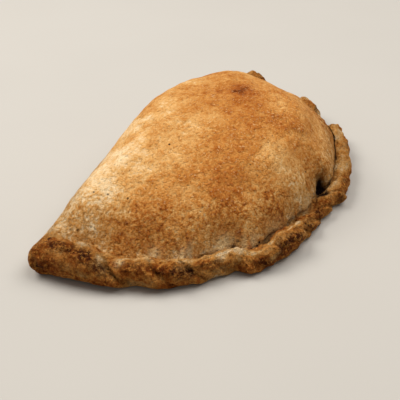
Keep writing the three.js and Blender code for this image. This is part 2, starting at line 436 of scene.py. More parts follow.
    def lean(self, turn: np.ndarray) -> np.ndarray:
        """How far the lips lean along the edge at some turns round the roll, in degrees."""
        return self.pleat_lean * (self.pleat_lean_from - turn) / 180

    def seam_share(self, bearing: np.ndarray) -> np.ndarray:
        """How far the dome leans on the roll at some bearings.

        Args:
            bearing: Bearings in degrees.

        Returns:
            One along the seam, sinking to nothing past its ends.
        """
        start, end = self.seam_span
        off = np.abs(turned_off(bearing, (start + end) / 2)) - (end - start) / 2
        return 1 - ease(off / self.seam_fade)

    def edge_place(self, bearing: np.ndarray, turn: np.ndarray) -> np.ndarray:
        """Place on the rolled edge, along it and round it in millimetres, from degrees."""
        bearing, turn = np.broadcast_arrays(bearing, turn)
        return np.stack([bearing * self.per_degree, turn * self.roll_per_degree], axis=-1)

    def _foot(self, line: Outline, seam: np.ndarray, torn: np.ndarray) -> Foot:
        """Foot of the dome, inside the rolled edge and up to the fold.

        Args:
            line: The outline.
            seam: How far the dome leans on the roll at each station.
            torn: How far the hole is torn at each station.

        Returns:
            The foot.
        """
        thickness, out = self.pleat_size(line.bearing)
        valley = self.valley_height + self.seam_rise * seam - self.hole_drop * torn
        inside = line.to_edge - self.dome_inset
        folded = ease(0.5 + 0.5 * (inside - line.to_fold) / self.dome_rounding)
        at_tip = 4 * folded * (1 - folded)
        even = rounded_min(inside, line.to_fold, self.dome_rounding)
        inset = thickness - out + self.valley_gap - self.seam_lap * seam
        return Foot(
            even=even,
            reach=even + (self.dome_inset - inset) * (1 - folded),
            tear=self.hole_width * torn * (1 - folded),
            height=mix(valley, self.fold_waist, folded) + self.tip_shoulder * at_tip,
            at_tip=at_tip,
        )

    def _dome(
        self, line: Outline, foot: Foot, overhang: np.ndarray
    ) -> tuple[np.ndarray, np.ndarray]:
        """Dome from the crown down to its foot.

        Args:
            line: The outline.
            foot: The dome's foot.
            overhang: How far the dome leans over its foot.

        Returns:
            Distance from the crown and height, stations by rings.
        """
        step = np.arange(1, self.dome_rings + 1) / self.dome_rings
        share = (np.sin(math.pi / 2 * step) ** (2 / self.side_fullness))[None, :]
        angle = line.angle[:, None]
        on_fold_side = ease(0.5 + np.sin(angle))
        leaner = self.leaner_tips * mix(self.front_lean_share, 1, on_fold_side)
        top = self.top_fullness - leaner * np.cos(2 * angle)
        full = ease(share)
        power = mix(self.crown_fullness, self.side_fullness, full)
        rise = (1 - np.minimum(1, share**power)) ** (1 / mix(self.top_fullness, top, full))
        cap = 1 / np.hypot(line.dx / self.cap_long, line.dy / self.cap_cross)
        even = mix(cap[:, None], foot.even[:, None], full)
        distance = mix(even, foot.reach[:, None], self.pleat_pull.at(share)) * share
        belly = self.belly_out.at(share) * (1 - self.belly_in.at(share))
        distance += overhang[:, None] * belly - foot.tear[:, None] * self.hole_pull.at(share)
        x = self.crown[0] + line.dx[:, None] * distance
        y = self.crown[1] + line.dy[:, None] * distance
        height = mix(foot.height[:, None], self.crown_height, rise)
        swollen = sum(swell.at(x, y) for swell in self.swells)
        return distance, height + swollen * self.swell_rise.at(rise)

    def _roll(
        self, line: Outline, foot: Foot, seam: np.ndarray
    ) -> tuple[np.ndarray, np.ndarray, np.ndarray]:
        """Rolled edge in section.

        Args:
            line: The outline.
            foot: The dome's foot.
            seam: How far the dome leans on the roll at each station.

        Returns:
            Distance from the crown, height, and turn round the roll in degrees.
        """
        thickness, out = self.pleat_size(line.bearing)
        start = mix(self.roll_start, self.roll_start_seam, seam)
        start = mix(start, self.roll_start_tip, foot.at_tip)[:, None]
        radius = thickness[:, None] / 2
        middle = (line.reach + out)[:, None] - radius
        turn = mix(start, self.roll_foot, np.linspace(0, 1, self.roll_rings)[None, :])
        relief = self.pleat_relief(np.mod(line.bearing[:, None] - self.lean(turn), 360))
        shows = self.pleats_show.at(turn) * (1 - self.pleats_end.at(turn))
        around = radius + relief * shows
        distance = middle + around * np.cos(np.radians(turn))
        height = radius + around * np.sin(np.radians(turn))
        return distance, np.maximum(0, height), turn

    def _fold(self, line: Outline, foot: Foot) -> tuple[np.ndarray, np.ndarray]:
        """Folded back, curling under from its waist.

        Args:
            line: The outline.
            foot: The dome's foot.

        Returns:
            Distance from the crown and height.
        """
        share = (np.arange(1, self.roll_rings + 1) / self.roll_rings)[None, :]
        swollen = np.sin(math.pi / 2 * np.clip(share / self.fold_swell, 0, 1))
        out = mix(foot.reach[:, None], line.reach[:, None], swollen)
        turn = math.pi / 2 * share
        distance = out - self.fold_undercut * (1 - np.cos(turn))
        return distance, foot.height[:, None] * (1 - np.sin(turn))

    def _settle(self, points: np.ndarray, at_tip: np.ndarray, by_hole: np.ndarray) -> None:
        """Evens out the dough round the dome's foot at the tips, and over the hole.

        Args:
            points: The grid, changed in place.
            at_tip: How near a tip each station is.
            by_hole: How near the hole each station is.
        """
        ring = np.arange(points.shape[1]) - (self.dome_rings - 1)
        reach = np.where(ring < 0, self.settle_dome_rings, self.settle_roll_rings)
        over_hole = 1 - ease(np.abs(ring - self.settle_hole_ring) / self.settle_hole_rings)
        share = np.maximum(
            at_tip[:, None] * (1 - ease(np.abs(ring) / reach)),
            by_hole[:, None] * (ring < 0) * over_hole,
        )
        share = share[:, 1:-1, None]
        for _ in range(self.settle_passes):
            around = np.roll(points, 1, axis=0) + np.roll(points, -1, axis=0)
            even = (around[:, 1:-1] + points[:, :-2] + points[:, 2:]) / 4
            points[:, 1:-1] = mix(points[:, 1:-1], even, share)

    def skin(self) -> Skin:
        """Whole surface from the crown to the middle of the base.

        Returns:
            The skin, before its fine relief.
        """
        line = self.outline(self.station_angles())
        seam = self.seam_share(line.bearing)
        off_hole = turned_off(line.bearing, self.hole_bearing)
        torn = 1 - ease(np.abs(off_hole) / self.hole_span)
        foot = self._foot(line, seam, torn)
        dome, dome_height = self._dome(line, foot, self.seam_overhang * seam * (1 - torn))
        roll, roll_height, turn = self._roll(line, foot, seam)
        fold, fold_height = self._fold(line, foot)
        rolled = line.rolled[:, None]
        roll, roll_height = mix(fold, roll, rolled), mix(fold_height, roll_height, rolled)
        roll_height[:, -1] = 0
        shrink = 1 - np.arange(1, self.base_rings + 1) / (self.base_rings + 1)
        base = roll[:, -1:] * shrink[None, :]
        distance = np.concatenate([dome, roll, base], axis=1)
        height = np.concatenate([dome_height, roll_height, np.zeros_like(base)], axis=1)
        x = self.crown[0] + line.dx[:, None] * distance
        y = self.crown[1] + line.dy[:, None] * distance
        points = np.stack([x, y, height], axis=-1)
        by_hole = self.settle_hole_share * bump(off_hole, self.settle_hole_span)
        self._settle(points, foot.at_tip, by_hole)
        roll_end = self.dome_rings + self.roll_rings
        return Skin(points, line, turn, foot_ring=self.dome_rings - 1, roll_end=roll_end)


@dataclass
class Survey:
    """Where each point of the skin lies, and the random values there.

    Lengths are in millimetres and turns in degrees; along is measured down the profile from
    the dome's foot, and edge along the rolled edge and round it.
    """

    noise: LatticeNoise
    points: np.ndarray
    along: np.ndarray
    turn: np.ndarray
    bearing: np.ndarray
    edge: np.ndarray
    rolled: np.ndarray
    on_roll: np.ndarray
    seam: np.ndarray
    drift: np.ndarray
    broad: np.ndarray
    medium: np.ndarray
    fine: np.ndarray


@dataclass(frozen=True)
class Spot:
    """A place on the crust, seen from above: where, how wide, how strong and how ragged."""

    x: float
    y: float
    radius: float
    strength: float
    ragged: float = 0.25

    def share(self, at: Survey) -> np.ndarray:
        """How strong it is at each point, with a ragged border."""
        off = np.hypot(at.points[..., 0] - self.x, at.points[..., 1] - self.y)
        return self.strength * bump(off + self.ragged * self.radius * at.medium, self.radius)


@dataclass(frozen=True)
class EdgeSpot:
    """A place along the dome's foot: its bearing, half its length and how strong it is."""

    bearing: float
    half: float
    strength: float

    def share(self, bearing: np.ndarray) -> np.ndarray:
        """How strong it is at some bearings."""
        return self.strength * bump(turned_off(bearing, self.bearing), self.half)


@dataclass(frozen=True)
class Pit:
    """A torn place by the dome's foot.

    Its bearing, millimetres across the foot, half its length and width, its depth, how dark the
    painted shade in it is, how far its border strays along and across, and how steep the border
    is.
    """

    bearing: float
    across: float
    half_length: float
    half_width: float
    depth: float
    dark: float
    stray: tuple[float, float] = (1.2, 0.8)
    steepness: int = 4

    def share(self, form: CrustForm, at: Survey) -> np.ndarray:
        """How far inside it each point is.

        Args:
            form: The form whose foot it is on.
            at: The survey.

        Returns:
            One inside and nothing outside, with a steep border.
        """
        along = turned_off(at.bearing, self.bearing) * form.per_degree
        off = np.hypot(
            (along + self.stray[0] * at.drift) / self.half_length,
            (at.along - self.across + self.stray[1] * at.drift) / self.half_width,
        )
        return np.exp(-(off**self.steepness))


@dataclass(frozen=True)
class Streak:
    """A mark on the rolled edge, from one bearing and turn round the roll to another."""

    start: tuple[float, float]
    end: tuple[float, float]
    half_width: float
    strength: float

    def share(self, form: CrustForm, at: Survey, stray: np.ndarray) -> np.ndarray:
        """How strong it is at each point.

        Args:
            form: The form whose edge it is on.
            at: The survey.
            stray: Added to the distance from the mark, in millimetres.

        Returns:
            The strength at each point.
        """
        a, b = form.edge_place(*self.start), form.edge_place(*self.end)
        way = b - a
        part = np.clip(((at.edge - a) @ way) / (way @ way), 0, 1)
        off = np.linalg.norm(at.edge - a - part[..., None] * way, axis=-1)
        return self.strength * bump(off + stray, self.half_width)


CHAR_STREAKS = (
    Streak((189, 84), (192, -16), 5.0, 0.6),
    Streak((192, 95), (196, 82), 2.2, 0.9),
    Streak((196, 80), (204, 66), 3.0, 1.0),
    Streak((204, 64), (208.5, 35), 2.6, 0.8),
    Streak((208.5, 35), (211, 5), 2.0, 0.5),
    Streak((194, -10), (196, 8), 3.0, 0.8),
    Streak((198, 20), (205, 0), 2.0, 0.35),
    Streak((214, 56), (218, 48), 2.6, 0.6),
    Streak((224.5, 42), (228.5, 26), 3.4, 1.0),
    Streak((231, 54), (234.5, 50), 2.4, 0.65),
    Streak((233, 20), (239, 5), 2.6, 0.4),
    Streak((245, 22), (247.5, -30), 3.2, 1.0),
    Streak((250.5, 30), (255, 36), 3.4, 0.9),
    Streak((249, -15), (252.5, 0), 3.0, 0.6),
    Streak((255, 47), (257.5, 14), 2.8, 0.9),
    Streak((262, 58), (263.8, 8), 2.6, 1.0),
    Streak((269, 80), (269.4, 3), 3.2, 1.1),
    Streak((273.5, 72), (275.5, 48), 1.6, 0.4),
    Streak((279.5, 24), (279.5, -20), 2.2, 0.7),
    Streak((283.5, 50), (286.5, 38), 2.6, 0.6),
    Streak((303, 60), (306, 40), 2.4, 0.35),
    Streak((328.5, 90), (329.0, 10), 2.0, 0.8),
    Streak((355.5, 95), (356, 30), 2.6, 0.9),
)
# Painted highlight along the crests of the roll.
CREST_HIGHLIGHT_STREAKS = (
    Streak((200, 102), (206, 88), 1.6, 1.0),
    Streak((206, 88), (208.2, 64), 1.6, 1.1),
    Streak((208.2, 64), (211.2, 4), 1.4, 0.8),
    Streak((212, 104), (220, 96), 1.8, 0.8),
    Streak((220, 112), (228, 96), 2.2, 0.9),
    Streak((228, 104), (240, 100), 1.8, 0.6),
    Streak((241, 98), (245, 84), 2.4, 0.9),
    Streak((247, 128), (251, 92), 2.6, 1.0),
    Streak((251, 100), (260, 104), 2.2, 0.7),
)
FLOUR_STREAKS = (
    Streak((211.2, 92), (212.0, 66), 1.9, 1.2),
    Streak((212, 108), (219, 100), 1.2, 0.5),
)

# Single pores, each with its strength as the darkness of the painted shade in it.
PORES = (
    Spot(-115.3, 30.2, 1.5, 1.0),
    Spot(-108.1, 30.5, 0.8, 0.8),
    Spot(-100.6, 25.2, 1.1, 0.9),
    Spot(-108.5, 38.0, 0.7, 0.7),
    Spot(-102.4, 28.2, 0.8, 0.7),
    Spot(-110.5, 24.5, 0.6, 0.6),
    Spot(-84.2, 28.2, 0.7, 0.8),
    Spot(-81.6, 21.0, 0.7, 0.8),
    Spot(-78.9, 9.7, 0.8, 0.8),
    Spot(-40.8, 10.7, 0.8, 0.9),
    Spot(-27.3, -31.0, 0.6, 0.8),
    Spot(4.2, -48.1, 0.7, 0.9),
    Spot(-12.3, -57.7, 1.3, 1.0),
    Spot(-14.6, -58.6, 0.9, 1.0),
    Spot(-22.6, -58.6, 1.2, 1.0),
    Spot(-57.5, -43.7, 1.1, 0.9),
    Spot(-49.6, -51.7, 1.0, 1.0),
    Spot(-51.5, -51.5, 1.1, 1.0),
)


@dataclass
class Marks:
    """What folding, pleating and tearing did to the dough at each point, and the painted shade in
    its torn pits.
    """

    far_along: np.ndarray
    crease: np.ndarray
    lip: np.ndarray
    valley: np.ndarray
    filled: np.ndarray
    crack: np.ndarray
    torn_depth: np.ndarray
    torn_shade: np.ndarray
    ripple: np.ndarray
    wrinkle: np.ndarray


@dataclass
class Handwork:
    """Marks that folding, pleating and tearing leave in the dough, and their fine relief.

    Lengths are in millimetres. Waves are pairs of a length and a height.
    """

    dome_waves: tuple[tuple[float, float], ...] = ((17, 0.5), (7.5, 0.32), (3.6, 0.2))
    roll_waves: tuple[tuple[float, float], ...] = ((10, 0.75), (5, 0.85), (2.6, 0.75))
    grain_length: float = 1.5
    grain_stretch: float = 5
    grain_height: float = 0.2
    relief_below: float = 0.6
    relief_from_table: Fade = Fade(0, 4)
    crease_drift: float = 0.3
    crease_past: float = 1.3
    crease_before: float = 0.7
    crease_depth: float = 0.7
    crease_uneven: float = 0.4
    crease_step: float = 7.1
    creases_show: Fade = Fade(-70, 40)
    creases_end: Fade = Fade(82, 36)
    creases_fainter_far: float = 0.6
    lip_rise: float = 0.45
    lip_rise_width: float = 3.0
    lip_fall: float = 0.45
    lip_fall_length: float = 2.5
    valley_open: float = 0.12
    valley_depth: float = 1.0
    valley_width: float = 1.3
    valley_drift: float = 0.9
    valley_fill: float = 1.3
    valley_fill_width: float = 3.5
    valley_fill_down: float = 1
    gap_spots: tuple[EdgeSpot, ...] = (
        EdgeSpot(231, 2.2, 0.5),
        EdgeSpot(239, 0.7, 0.8),
        EdgeSpot(249.8, 3.4, 1.0),
        EdgeSpot(258.5, 1.8, 0.9),
        EdgeSpot(264, 3, 0.7),
        EdgeSpot(272, 4, 0.6),
    )
    crack_depth: float = 1.2
    crack_width: float = 1.0
    crack_down: float = 0.6
    crack_drift: float = 0.5
    pits: tuple[Pit, ...] = (
        Pit(277.2, 5.0, 4.2, 4.6, 1.4, 1.25),
        Pit(279.6, -2.0, 3.0, 5.0, 1.2, 1.15),
        Pit(279.9, -8.0, 2.4, 3.0, 0.6, 0.5),
    )
    wrinkle_depth: float = 0.9
    wrinkle_plain: float = 0.35
    wrinkle_length: float = 2.6
    wrinkle_stretch: float = 6
    wrinkle_reach: float = 9
    wrinkle_end: float = 2
    strand_spots: tuple[EdgeSpot, ...] = (
        EdgeSpot(217.5, 2.5, 0.8),
        EdgeSpot(225.5, 2, 1.5),
        EdgeSpot(242, 3.2, 1.3),
        EdgeSpot(262, 4, 0.2),
    )

    def marks(self, form: CrustForm, at: Survey) -> Marks:
        """Works out the marks.

        Args:
            form: The form that the skin was made from.
            at: The survey.

        Returns:
            The marks.
        """
        wandering = at.bearing + self.crease_drift * at.drift - form.lean(at.turn)
        index, share, counted = form.pleat_at(np.mod(wandering, 360))
        far_along = form.far_pleats.at(counted)
        past_lip = share * form.spans[index]
        before_lip = (1 - share) * form.spans[index]
        shows = at.on_roll * self.creases_show.at(at.turn) * (1 - self.creases_end.at(at.turn))
        shows *= 1 - self.creases_fainter_far * far_along
        shows *= mix(1, np.sin(self.crease_step * index), self.crease_uneven)
        crease = bump(past_lip, self.crease_past) + bump(before_lip, self.crease_before)
        lip = self.lip_rise * bump(before_lip, self.lip_rise_width)
        lip -= self.lip_fall * np.exp(-past_lip / self.lip_fall_length)

        gap = self.valley_open + sum(spot.share(at.bearing) for spot in self.gap_spots)
        valley = bump(at.along + self.valley_drift * at.drift, self.valley_width) * gap
        filled = bump(at.along - self.valley_fill_down, self.valley_fill_width)
        crack = bump(at.along - self.crack_down + self.crack_drift * at.drift, self.crack_width)
        torn = [pit.share(form, at) for pit in self.pits]

        near_foot = bump(np.clip(-at.along, 0, None), self.wrinkle_reach)
        strands = self.wrinkle_plain + sum(spot.share(at.bearing) for spot in self.strand_spots)
        down = at.along / self.wrinkle_stretch
        place = np.stack(np.broadcast_arrays(at.edge[..., 0], down, 0.0), axis=-1)
        ripple = at.noise.at(place, self.wrinkle_length)
        return Marks(
            far_along=far_along,
            crease=np.clip(crease, 0, 1) * shows,
            lip=lip * shows,
            valley=valley * at.rolled,
            filled=filled * at.rolled * (1 - np.clip(gap, 0, 1)),
            crack=crack * at.seam,
            torn_depth=sum(pit.depth * share for pit, share in zip(self.pits, torn)),
            torn_shade=sum(pit.dark * share for pit, share in zip(self.pits, torn)),
            ripple=ripple,
            wrinkle=near_foot * (at.along < self.wrinkle_end) * at.rolled * ripple * strands,
        )

    def grain(self, at: Survey) -> np.ndarray:
        """Fine grain of the roll, drawn out along the edge, between -1 and 1."""
        place = [at.edge[..., 0] / self.grain_stretch, at.edge[..., 1], np.zeros_like(at.along)]
        return at.noise.at(np.stack(place, axis=-1), self.grain_length)

    def relief(self, at: Survey, marks: Marks, grain: np.ndarray) -> np.ndarray:
        """Fine relief of the dough.

        Args:
            at: The survey.
            marks: The marks in the dough.
            grain: Fine grain of the roll.

        Returns:
            Height over the plain skin, in millimetres.
        """
        dome = at.noise.waves(at.points, self.dome_waves)
        roll = at.noise.waves(at.points, self.roll_waves) + self.grain_height * grain
        relief = mix(dome, roll + marks.lip, at.on_roll) - self.relief_below
        relief += self.wrinkle_depth * marks.wrinkle
        relief += self.valley_fill * marks.filled * (1 - marks.far_along)
        relief -= self.crease_depth * marks.crease + self.valley_depth * marks.valley
        relief -= self.crack_depth * marks.crack + marks.torn_depth
        return relief * self.relief_from_table.at(at.points[..., 2])


class Coat(Enum):
    """Vertex attributes that tell the crust's material what the dough went through, and where
    light and shade are painted on it.
    """

    # How far the dough is toasted, with painted highlight along the roll's crests and painted
    # bounce light on its underside.
    TOAST_AND_PAINTED_LIGHT = "toast"
    CHAR = "char"
    FLOUR = "flour"
    # Painted shade in the crack by the seam, the pleat creases, the valley behind the roll and
    # the torn pits.
    CREASE = "crease"
    CRUSTY = "crusty"


@dataclass
class Browning:
    """What the oven and the flour did to the crust, with painted highlight, bounce light and
    shade, each from nothing to one.

    Noises are the weights of the broad, medium and fine random values; on the roll, of the
    medium and fine ones and the grain.
    """

    dome_toast: float = 0.46
    dome_noises: tuple[float, ...] = (0.13, 0.08, 0.06)
    toast_spots: tuple[Spot, ...] = (
        Spot(-72, 34, 40, -0.36),
        Spot(-20, 44, 40, -0.14),
        Spot(24, 8, 6, 0.26),
        Spot(31, 13, 6, 0.24),
        Spot(12, 4, 26, 0.14),
        Spot(-34, -6, 18, 0.20),
        Spot(-44, -28, 15, 0.26),
        Spot(-32, -49, 7, 0.12),
        Spot(-76, -12, 15, 0.24),
        Spot(-93, 2, 12, 0.14),
        Spot(-66, -20, 14, -0.14),
        Spot(-100, 22, 12, 0.10),
        Spot(-8, -46, 15, -0.20),
        Spot(14, -36, 20, 0.12),
    )
    wrinkle_toast: float = 0.4
    foot_paler: float = 0.16
    foot_pale_from: Fade = Fade(205, 15)
    foot_pale_until: Fade = Fade(285, 20)
    foot_pale_up: float = 2
    foot_pale_stray: float = 3
    foot_pale_width: float = 6.5
    base_toast: float = 0.16
    base_noise: float = 0.1
    base_pale: Fade = Fade(-9, 9)
    roll_toast: float = 0.60
    roll_noises: tuple[float, ...] = (0.24, 0.22, 0.14)
    roll_least: float = 0.3
    stray: float = 0.8
    # Painted highlight along the roll's crests.
    crest_turn: float = 100
    crest_width: float = 34
    crest_highlight_strength: float = 0.4
    crest_highlight_lift: float = 0.28
    crest_highlight_streaks: tuple[Streak, ...] = CREST_HIGHLIGHT_STREAKS
    far_side: Fade = Fade(275, 14)
    far_side_paler: float = 0.10
    last_pleats: Fade = Fade(322, 8)
    last_pleats_end: float = 90
    last_pleats_paler: float = 0.22
    # Painted bounce light from the table on the roll's underside.
    underside: Fade = Fade(5, 40)
    underside_bounce_light: float = 0.10
    near_tip: EdgeSpot = EdgeSpot(201, 9, 0.10)
    near_tip_until: Fade = Fade(60, 25)
    char_streaks: tuple[Streak, ...] = CHAR_STREAKS
    crease_char: float = 0.4
    flour_streaks: tuple[Streak, ...] = FLOUR_STREAKS
    flour_spots: tuple[EdgeSpot, ...] = (
        EdgeSpot(217.8, 1.8, 0.7),
        EdgeSpot(224.5, 0.7, 1.0),
        EdgeSpot(226.4, 0.8, 1.2),
        EdgeSpot(235.8, 2.6, 1.3),
        EdgeSpot(241.5, 0.8, 0.8),
        EdgeSpot(244.6, 1.0, 0.8),
        EdgeSpot(252.5, 3, 0.35),
        EdgeSpot(268, 3, 0.4),
    )
    flour_up: float = 2.4
    flour_stray: float = 1.6
    flour_width: float = 4.2
    flour_ripple: float = 0.7
    # Painted shade in the crack, the pleat creases and the valley behind the roll.
    crack_shade: float = 1.08
    crack_uneven: float = 0.36
    crease_shade: float = 0.32
    valley_shade: float = 0.55
    crumbly: float = 0.7
    crumbly_below: Fade = Fade(-34, 18)

    def _dome(self, at: Survey, marks: Marks) -> np.ndarray:
        """How far the dome is toasted.

        Args:
            at: The survey.
            marks: The marks in the dough.

        Returns:
            The toast at each point.
        """
        noises = zip(self.dome_noises, (at.broad, at.medium, at.fine))
        toast = self.dome_toast + sum(weight * noise for weight, noise in noises)
        toast += sum(spot.share(at) for spot in self.toast_spots)
        pale = self.foot_pale_from.at(at.bearing) * (1 - self.foot_pale_until.at(at.bearing))
        down = at.along + self.foot_pale_up + self.foot_pale_stray * at.medium
        toast -= self.foot_paler * pale * bump(down, self.foot_pale_width)
        return toast + self.wrinkle_toast * marks.wrinkle

    def _roll(
        self, form: CrustForm, at: Survey, stray: np.ndarray, grain: np.ndarray
    ) -> np.ndarray:
        """How far the roll is toasted, with painted highlight along its crests and painted bounce
        light on its underside.

        Args:
            form: The form that the skin was made from.
            at: The survey.
            stray: How far the borders of marks stray, in millimetres.
            grain: Fine grain of the roll.

        Returns:
            The toast at each point.
        """
        # Painted highlight along the crests.
        crest_highlight = self.crest_highlight_strength * bump(at.turn - self.crest_turn, self.crest_width)
        crest_highlight = crest_highlight + sum(mark.share(form, at, stray / 2) for mark in self.crest_highlight_streaks)
        last = self.last_pleats.at(at.bearing) + (at.bearing < self.last_pleats_end)
        toast = self.roll_toast - self.far_side_paler * self.far_side.at(at.bearing)
        toast = toast - self.last_pleats_paler * last
        # Painted bounce light on the underside.
        toast = toast - self.underside_bounce_light * self.underside.at(-at.turn)
        toast -= self.crest_highlight_lift * np.clip(crest_highlight, 0, 1)
        toast += self.near_tip.share(at.bearing) * (1 - self.near_tip_until.at(at.turn))
        noises = zip(self.roll_noises, (at.medium, at.fine, grain))
        return np.maximum(toast, self.roll_least) + sum(part * noise for part, noise in noises)

    def coats(
        self, form: CrustForm, at: Survey, marks: Marks, grain: np.ndarray
    ) -> dict[Coat, np.ndarray]:
        """Works out all coats of the crust.

        Args:
            form: The form that the skin was made from.
            at: The survey.
            marks: The marks in the dough.
            grain: Fine grain of the roll.

        Returns:
            Each coat's value at each point.
        """
        height = at.points[..., 2]
        stray = self.stray * (at.medium + at.fine)
        toast = mix(self._dome(at, marks), self._roll(form, at, stray, grain), at.on_roll)
        base = self.base_toast + self.base_noise * at.broad
        toast = mix(toast, base, self.base_pale.at(-height) * (1 - at.on_roll))

        char = sum(mark.share(form, at, stray) for mark in self.char_streaks)
        char = np.clip(char, 0, 1) * at.on_roll
        char += self.crease_char * marks.crease * (1 + at.fine) / 2

        strayed = at.bearing + self.stray * at.medium
        band = bump(at.along + self.flour_up + self.flour_stray * at.fine, self.flour_width)
        flour = sum(spot.share(strayed) for spot in self.flour_spots)
        flour *= band * (1 + self.flour_ripple * marks.ripple)
        flour += at.on_roll * sum(mark.share(form, at, stray) for mark in self.flour_streaks)
        flour = np.clip(flour, 0, 1)

        # Painted shade in the crack, the torn pits, the pleat creases and the valley behind the
        # roll.
        dark = marks.crack * (self.crack_shade + self.crack_uneven * at.fine) + marks.torn_shade
        dark += self.crease_shade * marks.crease
        dark += self.valley_shade * marks.valley * (1 - flour) * (1 - at.seam)
        crumbly = self.crumbly * self.crumbly_below.at(-height)
        coats = {
            Coat.TOAST_AND_PAINTED_LIGHT: toast,
            Coat.CHAR: char,
            Coat.FLOUR: flour,
            Coat.CREASE: dark,
            Coat.CRUSTY: mix(crumbly, 1, at.on_roll),
        }
        return {coat: np.clip(value, 0, 1) for coat, value in coats.items()}


@dataclass
class Bake:
    """Fine relief and browning of the crust, with its painted light and shade."""

    seed: int = 11
    drift_length: float = 8
    noise_lengths: tuple[float, float, float] = (22, 9, 4)
    noise_apart: float = 40
    roll_begins: Fade = Fade(-1, 3)
    handwork: Handwork = field(default_factory=Handwork)
    browning: Browning = field(default_factory=Browning)

    def _survey(self, form: CrustForm, skin: Skin) -> Survey:
        """Surveys the skin.

        Args:
            form: The form that the skin was made from.
            skin: The skin.

        Returns:
            The survey.
        """
        noise = LatticeNoise(self.seed)
        points = skin.points.copy()
        bearing = skin.outline.bearing[:, None]
        rolled = skin.outline.rolled[:, None]
        ring = np.arange(points.shape[1])[None, :]
        turn = np.zeros(points.shape[:2])
        turn[:, skin.foot_ring + 1 : skin.roll_end] = skin.turn
        broad, medium, fine = (
            noise.at(points + count * self.noise_apart, length)
            for count, length in enumerate(self.noise_lengths, 1)
        )
        return Survey(
            noise=noise,
            points=points,
            along=skin.along_profile(),
            turn=turn,
            bearing=bearing,
            edge=form.edge_place(bearing, turn),
            rolled=rolled,
            on_roll=rolled * self.roll_begins.at(ring - skin.foot_ring) * (ring < skin.roll_end),
            seam=form.seam_share(bearing),
            drift=noise.at(points, self.drift_length),
            broad=broad,
            medium=medium,
            fine=fine,
        )

    def apply(self, form: CrustForm, skin: Skin) -> dict[Coat, np.ndarray]:
        """Moves the skin's points by the fine relief, and works out its coats.

        Args:
            form: The form that the skin was made from.
            skin: The skin, changed in place.

        Returns:
            Each coat's value at each point.
        """
        at = self._survey(form, skin)
        marks = self.handwork.marks(form, at)
        grain = self.handwork.grain(at)
        skin.points += skin.normals() * self.handwork.relief(at, marks, grain)[..., None]
        skin.points[..., 2] = np.maximum(0, skin.points[..., 2])
        return self.browning.coats(form, at, marks, grain)


def linear(red: int, green: int, blue: int) -> tuple[float, float, float, float]:
    """Scene-linear colour of a display colour.

    Args:
        red: Red from 0 to 255.
        green: Green from 0 to 255.
        blue: Blue from 0 to 255.

    Returns:
        Red, green, blue and alpha.
    """
    parts = [value / 255 for value in (red, green, blue)]
    bent = [v / 12.92 if v <= 0.04045 else ((v + 0.055) / 1.055) ** 2.4 for v in parts]
    return (bent[0], bent[1], bent[2], 1.0)


@dataclass(frozen=True)
class Pattern:
    """A random pattern: waves in a metre, octaves and how strong the finer ones are."""

    scale: float
    detail: float
    roughness: float = 0.6


@dataclass(frozen=True)
class Band:
    """A soft threshold: where it gives nothing, where it gives the most, and the most."""

    low: float
    high: float
    most: float = 1.0


